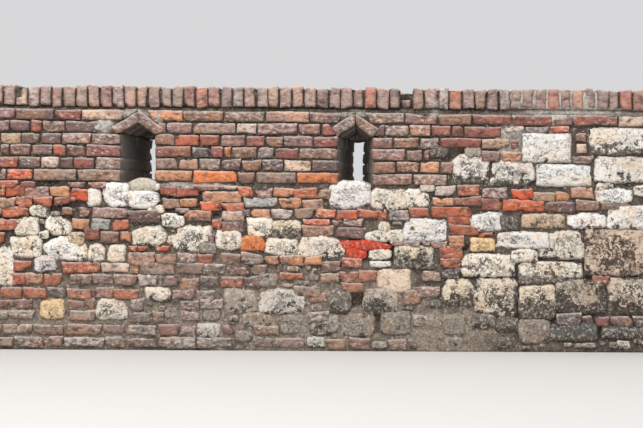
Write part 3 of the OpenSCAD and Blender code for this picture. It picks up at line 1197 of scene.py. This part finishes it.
for foot, height, layout in (
    (1050, 70, "@1611 m157"),
    (1046, 70, "@1809 s142"),
    (1032, 62, "@1958 y146 o94"),
    (1054, 70, "@2212 a148"),
    (975, 70, "@1600 q142"),
    (963, 76, "@1749 b280"),
    (963, 64, "@2036 p196"),
    (972, 60, "@2240 n168"),
    (782, 38, "@1584 b96"),
    (476, 60, "@2353 q116"),
    (188, 70, "@2122 k155"),
    (182, 66, "@2286 d82 q96 d152 k110"),
    (980, 52, "@2420 g190"),
):
    lay_row(front_face, foot, height, layout)


# From left to right and from foot to top of this stretch, the smear is so thick that nothing stands out of it
# but the stones that were laid above. The cavities stay open too.
THICK_SMEAR = (1.18, 1.70, 0.0, 0.29)
front_face.taken.append(THICK_SMEAR)
for left, foot, width, height, _ in CAVITIES:
    front_face.taken.append((left * MM, (left + width) * MM, foot * MM, (foot + height) * MM))


def free(face, u0, u1, z0, z1, margin):
    """Whether nothing has been laid yet in this stretch of a face."""
    return all(
        u1 + margin <= a or u0 - margin >= b or z1 + margin <= c or z0 - margin >= d
        for a, b, c, d in face.taken
    )


# What reaches less than this into a course doesn't stop it.
OVERLAP = 14 * MM


def free_stretches(face, u0, u1, z0, z1):
    """The stretches from u0 to u1 that nothing reaches into between two heights."""
    stretches, start = [], u0
    for a, b, c, d in sorted(face.taken):
        if b > start and a < u1 and min(d, z1) - max(c, z0) > OVERLAP:
            if a - PERPEND > start:
                stretches.append((start, a - PERPEND))
            start = max(start, b + PERPEND)
    if u1 > start:
        stretches.append((start, u1))
    return stretches


# Whole bricks, three-quarter bricks and half bricks, as they came to hand. A stretch no longer than the first
# of these is left to the mortar. Where less than the second would be left over, one brick fills the rest, if
# it needn't be longer than the third.
MIXED_LENGTHS = (290, 260, 215, 200, 140, 135, 130)
SHORTEST, LEAST_LEFT, LONGEST = 45 * MM, 60 * MM, 300 * MM


def fill_course(face, u0, u1, foot, height, kinds, rng):
    """Fills what is free of a course with bricks of mixed lengths and kinds."""
    for start, end in free_stretches(face, u0, u1, foot, foot + height):
        u = start
        while end - u > SHORTEST:
            length = rng.choice(MIXED_LENGTHS) * MM * rng.uniform(0.94, 1.04)
            if end - u - length < LEAST_LEFT:
                length = min(end - u, LONGEST)
            tall = height * rng.uniform(0.92, 1.0)
            place, fitted_length, fitted = at_jamb(face, u, length, foot)
            wear = LOW_WEAR if foot < SILL_BED else 1.0
            lay_brick(face, place, foot, fitted_length, tall, rng.choice(kinds), wear=wear, **fitted)
            u += length + PERPEND


def random_corners(rng, most):
    """Corner digits for a stone, each from 0 to most."""
    return "".join(str(rng.randint(0, most)) for _ in range(4))


TALLEST_STONE = 190 * MM
STONE_JOINT = 9 * MM


def scatter_stones(face, u0, u1, z0, z1, tries, kinds, sizes, rng):
    """Lays stones of mixed sizes where nothing lies yet, and leaves out those that find no room."""
    for _ in range(tries):
        width = rng.uniform(*sizes) * MM
        height = min(width * rng.uniform(0.45, 0.85), TALLEST_STONE)
        u = rng.uniform(u0, u1 - width)
        foot = rng.uniform(z0, z1 - height)
        if free(face, u, u + width, foot, foot + height, STONE_JOINT):
            corners = random_corners(rng, 5)
            lay_stone(face, rng.choice(kinds), u, foot, width, height, corners)


# What the layouts leave open in the part that shows is packed: first with dull stones and four courses of
# dirty brick near the ground, then with small stones and pieces of brick, and last with slivers of stone.
PALE = ("white", "cream", "mottled", "ragged", "buff")
DULL = ("grey", "dark", "buff", "mottled", "grey")
packing_rng = random.Random(33)
SEEN_LEFT, SEEN_RIGHT = -1.80, 2.74
MIDDLE_LEFT, MIDDLE_RIGHT, BLOCKS_LEFT = -0.35, 1.25, 1.20
LOW_BRICKS = "rrqnmtgbmo"
LOW_COURSES = 12
LOW_FOOT = 14 * MM
LOW_PITCH = (SILL_BED - LOW_FOOT) / LOW_COURSES
PACKED_FOOT, DULL_TOP, PACKED_TOP = 0.02, 0.45, 1.06
scatter_stones(
    front_face, MIDDLE_LEFT, MIDDLE_RIGHT, PACKED_FOOT, 0.50, 120, ("grey", "grey", "bleached", "dark"),
    (90, 200), packing_rng
)
scatter_stones(
    front_face, BLOCKS_LEFT, SEEN_RIGHT, PACKED_FOOT, 0.32, 160, ("dark", "dark", "grey"),
    (90, 230), packing_rng
)
for number in range(4):
    foot = LOW_FOOT + number * LOW_PITCH
    fill_course(front_face, SEEN_LEFT, MIDDLE_RIGHT, foot, BRICK_TALL, "tgmnqtgndk", packing_rng)
PACKING_TRIES, PACKING_JOINT = 1800, 5 * MM
for low, high, kinds, letters in (
    (PACKED_FOOT, DULL_TOP, DULL, "tgmnqtgn"),
    (DULL_TOP, PACKED_TOP, PALE + DULL, "rqnmtgbr"),
):
    for _ in range(PACKING_TRIES):
        width = packing_rng.uniform(55, 150) * MM
        height = packing_rng.uniform(34, 74) * MM
        u = packing_rng.uniform(SEEN_LEFT, SEEN_RIGHT - width)
        foot = packing_rng.uniform(low, high - height)
        if not free(front_face, u, u + width, foot, foot + height, PACKING_JOINT):
            continue
        share_of_stone = 0.5 if u < BLOCKS_LEFT else 0.8
        if packing_rng.random() < share_of_stone:
            corners = random_corners(packing_rng, 3)
            lay_stone(front_face, packing_rng.choice(kinds), u, foot, width, height, corners, push=3 * MM)
        else:
            lay_brick(front_face, u, foot, width, height, packing_rng.choice(letters), push=2 * MM)

SLIVER_TRIES, SLIVER_JOINT = 3000, 2 * MM
DARK_SLIVERS_BELOW = 0.3
for _ in range(SLIVER_TRIES):
    width = packing_rng.uniform(34, 80) * MM
    height = packing_rng.uniform(20, 40) * MM
    u = packing_rng.uniform(SEEN_LEFT, SEEN_RIGHT - width)
    foot = packing_rng.uniform(PACKED_FOOT, PACKED_TOP - height)
    if free(front_face, u, u + width, foot, foot + height, SLIVER_JOINT):
        kinds = ("grey", "dark", "grey") if foot < DARK_SLIVERS_BELOW else ("buff", "grey", "grey", "buff")
        kind = packing_rng.choice(kinds)
        corners = random_corners(packing_rng, 4)
        lay_stone(front_face, kind, u, foot, width, height, corners, push=5 * MM)

# The ends are plain: corner bricks that show their sides there, and a brick between every second pair.
ends_rng = random.Random(12)
END_KINDS = "rqpnmtgqrm"


def lay_end_course(foot, number, height):
    """Lays the four corner bricks of one course, and what lies between them on both ends."""
    whole = number % 2 == 0
    depth = HEADER_DEPTH if whole else BRICK_DEPTH
    length = BRICK_DEPTH if whole else HEADER_DEPTH
    for face in (front_face, back_face):
        for u in (LEFT, RIGHT - length):
            if free(face, u, u + length, foot, foot + height, 0):
                kind = ends_rng.choice(END_KINDS)
                lay_brick(face, u, foot, length, height, kind, depth=depth, form="return")
    if not whole:
        half = BACK - BRICK_DEPTH - PERPEND
        for face in (left_face, right_face):
            lay_brick(face, -half, foot, 2 * half, height, ends_rng.choice(END_KINDS))


for number in range(LOW_COURSES):
    lay_end_course(LOW_FOOT + number * LOW_PITCH, number, BRICK_TALL)

# The far left of the front and the whole back repeat the same building: a scatter of stones between the
# ground and the sills, then courses of brick fitted between them. The corners are all brick.
hidden_rng = random.Random(5)
LAST_STRETCH = 2.7
CORNER, SEAM = 0.32, 0.02
TRIES_PER_METRE = 90
for face, start, end in (
    (front_face, LEFT, SEEN_LEFT),
    (back_face, LEFT, RIGHT),
    (front_face, LAST_STRETCH, RIGHT),
):
    tries = round((end - start) * TRIES_PER_METRE)
    first, last = start + CORNER, end - (CORNER if end == RIGHT else SEAM)
    if first < last:
        scatter_stones(face, first, last, 0.30, 1.00, tries, PALE, (130, 300), hidden_rng)
        scatter_stones(face, first, last, 0.03, 0.32, tries // 2, DULL + PALE, (120, 330), hidden_rng)
    for number in range(LOW_COURSES):
        fill_course(
            face, start, end, LOW_FOOT + number * LOW_PITCH, BRICK_TALL, LOW_BRICKS + "bq", hidden_rng
        )

base_names = [f"bay_{number}_base" for number in range(1, BAYS + 1)]
for name in base_names:
    fill_solid(name)
finish_solids(base_names)


# Piers. Courses of brick from the bed of the sills to the feet of the gables, in no strict bond: stretchers
# and headers follow as they came to hand. Beside a loophole their ends are cut to the splay of the passage.
def course_foot(number):
    """The foot of a course, counted down from 1 under the coping's bed."""
    return HEAD_TOP - (number - 1) * COURSE - BRICK_TALL


# Real heights of the bricks in the courses, in millimetres: the lower ones are the thicker.
COURSE_TALL = {1: 68, 2: 71, 3: 71, 4: 74, 5: 74, 6: 75}

for number, layout in (
    (3, "@-1845 p165 y130 k124 d132 m190 n180"),
    (3, "@-620 n129 r160 r128 m160 q126 n112 m196 q145"),
    (3, "@860 p135 n170 m126 q272 y186 _1 q54"),
    (4, "@-1880 m195 p60 p135 p137 r82 n122 q230"),
    (4, "@-620 q242 k114 q85 e45 n162 g108 q156 n256"),
    (4, "@860 m222 n102 p40"),
    (4, "@1598 n130 o140"),
    (5, "@-1860 q135 r160 k140 c120 p86 q134 t170"),
    (5, "@-620 t150 a132 g138 d130 n130 d138 c184 d154"),
    (5, "@860 n152 n150 o136 m80"),
    (6, "@-1825 n140 t38 s170 t294 t280"),
    (6, "@-620 o250 e292 d115 t270 e265"),
    (6, "@860 m272 t226"),
):
    lay_row(front_face, course_foot(number) / MM, COURSE_TALL[number], layout)

# Closed bay. Beside the last pier the wall is closed with big squared blocks of limestone, a stack of half
# bricks and a pitted boulder, all laid in the same lime mortar.
lay_stones(front_face, """
honeycomb 1401 1176  246 196  6523
dark      1251 1352  122  66  3343
grey      1496 1358   95  60  4343
block     1877 1323  334 196  0111
stained   2332 1381  420 182  1011
stained   2373 1192  400 176  3112
block     1979 1162  374 148  1111
honeycomb 1659 1158  306 168  3161
""")
for foot, height, layout in (
    (1464, 62, "@2240 n76"),
    (1380, 72, "@2244 c74"),
    (1316, 56, "@2224 t136"),
):
    lay_row(front_face, foot, height, layout)

# The courses out of the photo's sight, in the same mixture, and the sides of the passages.
PIER_KINDS = "pmqtngrmpdyob"
pier_rng = random.Random(61)
SILL_COURSE = 7
for number in range(3, SILL_COURSE + 1):
    foot = course_foot(number)
    lay_end_course(foot, number, BRICK_TALL)
    for face in (front_face, back_face):
        side = 1 if face is front_face else -1
        half = (MOUTH_HALF if face is front_face else SLIT_HALF) if number < SILL_COURSE else 0
        edges = [LEFT] + [side * centre for centre in LOOPHOLE_X][::side] + [RIGHT]
        for start, end in zip(edges, edges[1:]):
            start += half * (start != LEFT)
            end -= half * (end != RIGHT)
            fill_course(face, start, end, foot, BRICK_TALL, PIER_KINDS, pier_rng)

reveal_faces = []
for number, centre in enumerate(LOOPHOLE_X, start=1):
    for origin, outward, pier in (
        ((centre - MOUTH_HALF, FRONT, 0), (1, -SPLAY, 0), f"pier_{number}"),
        ((centre + SLIT_HALF, BACK, 0), (-1, -SPLAY, 0), f"pier_{number + 1}"),
    ):
        reveal_faces.append(Face(origin, outward, lambda u, z, pier=pier: pier))
for face in reveal_faces:
    for number in (3, 5):
        lay_brick(
            face, BRICK_DEPTH + PERPEND, course_foot(number), BACK - FRONT - 2 * (BRICK_DEPTH + PERPEND),
            BRICK_TALL, pier_rng.choice(PIER_KINDS), grime=PASSAGE_GRIME
        )

# Sills. A rough stone lies on the lower wall under each passage, bedded in its mortar. The first loophole is
# out of the photo's sight and its sill is one block, given by its left, foot, width and height.
FIRST_SILL = (-2.33, SILL_BED + 8 * MM, 0.22, 0.078)
SILL_PITS = 0.3
lay_stone(front_face, "white", *FIRST_SILL, "4543")
sill_names = [f"loophole_{number}_sill" for number in range(1, LOOPHOLES + 1)]
for name in sill_names:
    fill_solid(name, STONE, STONES["buff"][0][:3] + [SILL_PITS])
pier_names = [f"pier_{number}" for number in range(1, LOOPHOLES + 2)]
for name in pier_names:
    fill_solid(name)
finish_solids(sill_names + pier_names)


# Gables. Two bricks lean together over each mouth, cut to a mitre at the ridge, and two more pairs behind
# them carry the passage inward. Their feet rest on the piers, packed with wedges of mortar.
GABLE_ROWS = 3
ROW_GAP = 5 * MM
FOOT_JOINT = 2 * MM
gable_low, gable_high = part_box("loophole_1_gable_right")
skewback_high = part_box("loophole_1_skewbacks")[1]
RIDGE = gable_high.z
gable_reach = skewback_high.x - LOOPHOLE_X[0]
GABLE_SLOPE = math.atan2(RIDGE - GABLE_FOOT, gable_reach)
SLANT = math.tan(GABLE_SLOPE)
ROW_PITCH = (gable_high.y - gable_low.y + ROW_GAP) / GABLE_ROWS
# For each loophole, how long its leaning bricks are along their upper edges, and their two kinds.
LEANING_LENGTHS = (215 * MM, 215 * MM, 188 * MM)
LEANING_KINDS = ("nt", "qq", "mn")
mitre = BRICK_THICK * SLANT


def leaning_face(centre, ridge, y, side, node):
    """A face that runs along the upper edge of the leaning bricks on one side of a ridge, from its top."""
    made = Face((centre, y, ridge), (0, -1, 0), lambda u, z: node)
    made.matrix = made.matrix @ Matrix.Rotation(side * GABLE_SLOPE, 4, "Y")
    return made


for number, (centre, leaning, kinds) in enumerate(zip(LOOPHOLE_X, LEANING_LENGTHS, LEANING_KINDS), start=1):
    for row in range(GABLE_ROWS):
        y = FRONT + row * ROW_PITCH
        ridge = GABLE_FOOT + half_width(y) * SLANT + BRICK_THICK / math.cos(GABLE_SLOPE)
        for side, name, kind in ((-1, "left", kinds[0]), (1, "right", kinds[1])):
            face = leaning_face(centre, ridge, y, side, f"loophole_{number}_gable_{name}")
            u = mitre if side > 0 else -leaning
            lay_brick(
                face, u, -BRICK_THICK, leaning - mitre, BRICK_THICK, kind,
                cuts=(0, 0, -SLANT, 0) if side > 0 else (0, 0, 0, SLANT), form="return",
                grime=0.0 if row == 0 else PASSAGE_GRIME, floor=GABLE_FOOT + FOOT_JOINT
            )

# Lintels. A flat piece of grey limestone bridges each slit in the back face, behind the leaning bricks. Its
# ends are bedded on the piers.
for number in range(1, LOOPHOLES + 1):
    low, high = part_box(f"loophole_{number}_lintel")
    lay_stone(
        back_face, "grey", -high.x, low.z, high.x - low.x, high.z - low.z, "1111", depth=high.y - low.y,
        node=f"loophole_{number}_lintel"
    )
gable_names = [f"loophole_{n}_gable_{side}" for n in range(1, LOOPHOLES + 1) for side in ("left", "right")]
lintel_names = [f"loophole_{number}_lintel" for number in range(1, LOOPHOLES + 1)]
skewback_names = [f"loophole_{number}_skewbacks" for number in range(1, LOOPHOLES + 1)]
for name in skewback_names:
    fill_solid(name)
finish_solids(gable_names + lintel_names + skewback_names)


# Heads. Two courses beside and behind the gables close the wall up to the bed of the coping. They are laid in
# the same mortar as the piers, and the ends beside a gable are cut to its slope.
for number, layout in (
    (1, "@-1860 m280 d258 q172 c264/"),
    (1, "@-636 o198\\ n268 n272 a292 m186/"),
    (1, "@845 t228\\ m216 n220 q264 q262 m134 q296 c200"),
    (2, "@-1800 m185 p130 r75 n143 d240"),
    (2, "@-600 m50 m170 t286 w130 m270 m136"),
    (2, "@947 t158 a134 q130 q74 q250"),
):
    lay_row(front_face, course_foot(number) / MM, COURSE_TALL[number], layout)

# Three thin bricks level up a block of the closed bay.
lay_row(front_face, 1524, 42, "@1760 w128 g160 r130")
# Two wedges cut from plum bricks stand against the ends of the shorter leaning bricks.
for left, length, kind, cuts in (
    (0.515, 0.097, "q", (0, 0, 0, -SLANT)),
    (0.868, 0.072, "p", (0, 0, SLANT, 0)),
):
    lay_brick(front_face, left, course_foot(2), length, BRICK_THICK, kind, cuts=cuts)

# How far each course keeps clear of the middle of a loophole, on its left and on its right.
HEAD_CLEAR = {1: (110 * MM, 105 * MM), 2: (205 * MM, 190 * MM)}
for number in (1, 2):
    foot = course_foot(number)
    lay_end_course(foot, number, BRICK_TALL)
    for start, end in zip([LEFT] + LOOPHOLE_X, LOOPHOLE_X + [RIGHT]):
        clear_left, clear_right = HEAD_CLEAR[number]
        start += clear_right * (start != LEFT)
        end -= clear_left * (end != RIGHT)
        fill_course(front_face, start, end, foot, BRICK_TALL, PIER_KINDS, pier_rng)
    fill_course(back_face, LEFT, RIGHT, foot, BRICK_TALL, PIER_KINDS, pier_rng)
head_names = ["stone_panel"]
head_names += [f"pier_{number}_head" for number in range(1, LOOPHOLES + 2)]
head_names += [f"bay_{number}_back_head" for number in range(1, LOOPHOLES + 1)]
for name in head_names:
    fill_solid(name)
finish_solids(head_names)


# Coping. Bricks on edge across the top, two end to end through the thickness, weathered and grey with
# lichen. One is lost, but for a stub, and one has lost its corner.
EDGE_STEP = 26 * MM
edge_blank = brick_blank(
    BRICK_THICK, BRICK_DEPTH, HEADER_DEPTH, FACE_STEP, even_places(0, HEADER_DEPTH, EDGE_STEP)
)
COPING_KINDS = "mmgptmoqngmykm"
# The lost brick left a gap this far into bay 3 and this wide.
GAP_IN_BAY, GAP_WIDE = 1047 * MM, 83 * MM
GAP_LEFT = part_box("bay_3_base")[0].x + GAP_IN_BAY
GAP_RIGHT = GAP_LEFT + GAP_WIDE
COPING_PITCH = 82 * MM
SEEN_START = -1655 * MM
# The lost corner of the broken brick: how far it reaches, and how deep it is.
BROKEN_REACH, BROKEN_DEEP = 85 * MM, 48 * MM
coping_rng = random.Random(85)


def lay_coping(face, start, end, kinds, broken=None):
    """Lays bricks on edge from start to end, in no even pitch. Brick number broken has lost a corner."""
    count = round((end - start) / COPING_PITCH)
    pitch = (end - start) / count
    joints = [start + i * pitch + coping_rng.uniform(-7, 7) * MM * (0 < i < count) for i in range(count + 1)]
    for i in range(count):
        kind = kinds[i] if i < len(kinds) else coping_rng.choice(COPING_KINDS)
        gap = coping_rng.uniform(8, 14) * MM
        u, width = joints[i] + gap / 2, joints[i + 1] - joints[i] - gap
        lost = [((-width / 2, BRICK_DEPTH / 2), BROKEN_REACH, BROKEN_DEEP)] if i == broken else ()
        foot = COPING_FOOT + coping_rng.uniform(-8, 2) * MM
        top = cad_box[1].z + coping_rng.uniform(-11, 1) * MM
        lay_brick(
            face, u, foot, width, top - foot, kind, depth=HEADER_DEPTH, form="on edge", wear=1.2, lost=lost,
            node=f"bay_{bay_at(u if face is front_face else -u)}_coping"
        )


SEEN_LEFT_KINDS = "mcmmmntaqmaamttqrqmgmtymatpmmqbmk"
SEEN_RIGHT_KINDS = "nmgbmapgmtmrmopkmrq"
lay_coping(front_face, LEFT, SEEN_START, "")
lay_coping(front_face, SEEN_START, GAP_LEFT, SEEN_LEFT_KINDS, broken=1)
lay_coping(front_face, GAP_RIGHT, RIGHT, SEEN_RIGHT_KINDS)
lay_coping(back_face, LEFT, RIGHT, "")

# The stub of the lost brick lies well back in the gap.
STUB_LONG, STUB_TALL, STUB_BACK = 58 * MM, 62 * MM, 110 * MM
lay_brick(
    front_face, GAP_LEFT + 12 * MM, COPING_FOOT + 2 * MM, STUB_LONG, STUB_TALL, "m", push=STUB_BACK,
    node="bay_3_coping"
)
coping_names = [f"bay_{number}_{part}" for number in range(1, BAYS + 1) for part in ("coping_bed", "coping")]
COPING_GRID = 24 * MM
for name in coping_names:
    fill_solid(name, grid=COPING_GRID)
finish_solids(coping_names)


# The stand for the picture: a plain pale floor, an overcast sky and a big soft light from high up in front.
FLOOR_SIZE = 60
bpy.ops.mesh.primitive_plane_add(size=FLOOR_SIZE)
floor = bpy.context.object
floor.name = "floor"
pale, tree, place = new_material("pale_floor")
shader = add_node(tree, "ShaderNodeBsdfPrincipled", {"Base Color": linear("#d9d7d3"), "Roughness": 0.9})
add_node(tree, "ShaderNodeOutputMaterial", {"Surface": shader})
floor.data.materials.append(pale)

scene = bpy.context.scene
scene.view_settings.view_transform = "Standard"
scene.world = bpy.data.worlds.new("overcast_sky")
scene.world.use_nodes = True
sky = scene.world.node_tree.nodes["Background"]
sky.inputs["Color"].default_value = linear("#eeeef0")
sky.inputs["Strength"].default_value = 0.8

# The light shines at the middle of the wall.
LAMP_PLACE, LAMP_AIM = Vector((-1.2, -6.0, 8.2)), Vector((0, 0, 0.9))
LAMP_SIZE, LAMP_WATTS = 7, 750
lamp = bpy.data.lights.new("soft_light", "AREA")
lamp.size = LAMP_SIZE
lamp.energy = LAMP_WATTS
lamp_object = bpy.data.objects.new("soft_light", lamp)
lamp_object.location = LAMP_PLACE
lamp_object.rotation_euler = (LAMP_AIM - LAMP_PLACE).to_track_quat("-Z", "Y").to_euler()
scene.collection.objects.link(lamp_object)

# The camera looks square at the face from 0.94 m over the ground, and is rolled a little. The picture lies to
# the left of its axis. The focal length goes with a sensor 36 mm wide.
CAMERA_PLACE = (1.074, -7.9, 0.936)
CAMERA_ROLL = math.radians(0.3)
FOCAL_LENGTH, SENSOR_WIDTH = 62.6, 36
FRAME_SHIFT = -0.128
lens = bpy.data.cameras.new("camera")
lens.lens = FOCAL_LENGTH
lens.sensor_width = SENSOR_WIDTH
lens.shift_x = FRAME_SHIFT
camera = bpy.data.objects.new("camera", lens)
camera.location = CAMERA_PLACE
camera.rotation_euler = (math.pi / 2, -CAMERA_ROLL, 0)
scene.collection.objects.link(camera)
scene.camera = camera
